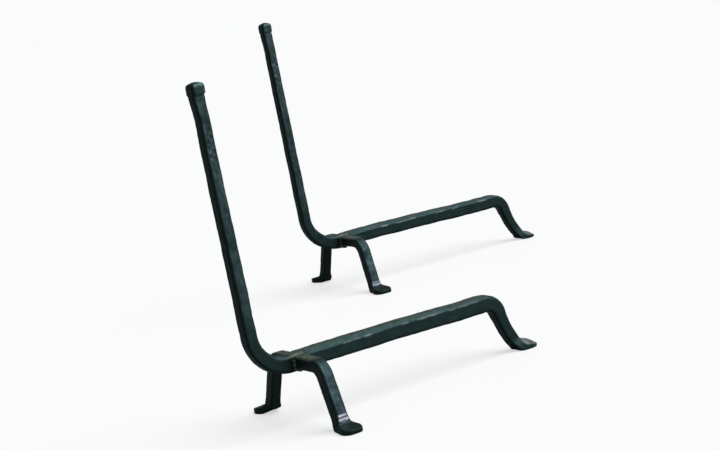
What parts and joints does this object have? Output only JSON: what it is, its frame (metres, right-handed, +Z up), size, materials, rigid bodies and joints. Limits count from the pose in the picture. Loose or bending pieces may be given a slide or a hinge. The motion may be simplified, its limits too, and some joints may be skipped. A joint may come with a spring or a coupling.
{
  "type": "fireplace andirons",
  "caption": "Hand-forged iron andirons: a square bar bent into a headed upright, billet bar and rear leg, with splayed front legs welded to its sides.",
  "frame": {"origin": "middle of the pair's footprint, on the hearth under the feet", "axes": "+Z up, +Y back along the billet bars, away from the uprights, +X to the right for someone who faces the uprights"},
  "size_m": [0.83, 0.9534, 0.4519],
  "materials": {
    "forged_iron": "oiled black forge scale, satin",
    "leg_iron": "oiled black forge scale, satin, worn bright above the feet",
    "weld_metal": "dressed weld metal, brown and dull"
  },
  "bodies": {
    "right_andiron": {"right_forged_bar": "forged_iron", "right_outer_leg": "leg_iron", "right_inner_leg": "leg_iron", "right_outer_weld": "weld_metal", "right_inner_weld": "weld_metal"},
    "left_andiron": {"left_forged_bar": "forged_iron", "left_outer_leg": "leg_iron", "left_inner_leg": "leg_iron", "left_outer_weld": "weld_metal", "left_inner_weld": "weld_metal"}
  },
  "joints": [
    {"name": "spacing_slide", "type": "slide", "parent": "right_andiron", "child": "left_andiron", "axis": [1, 0, 0], "range_m": [-0.1, 0.3]}
  ]
}
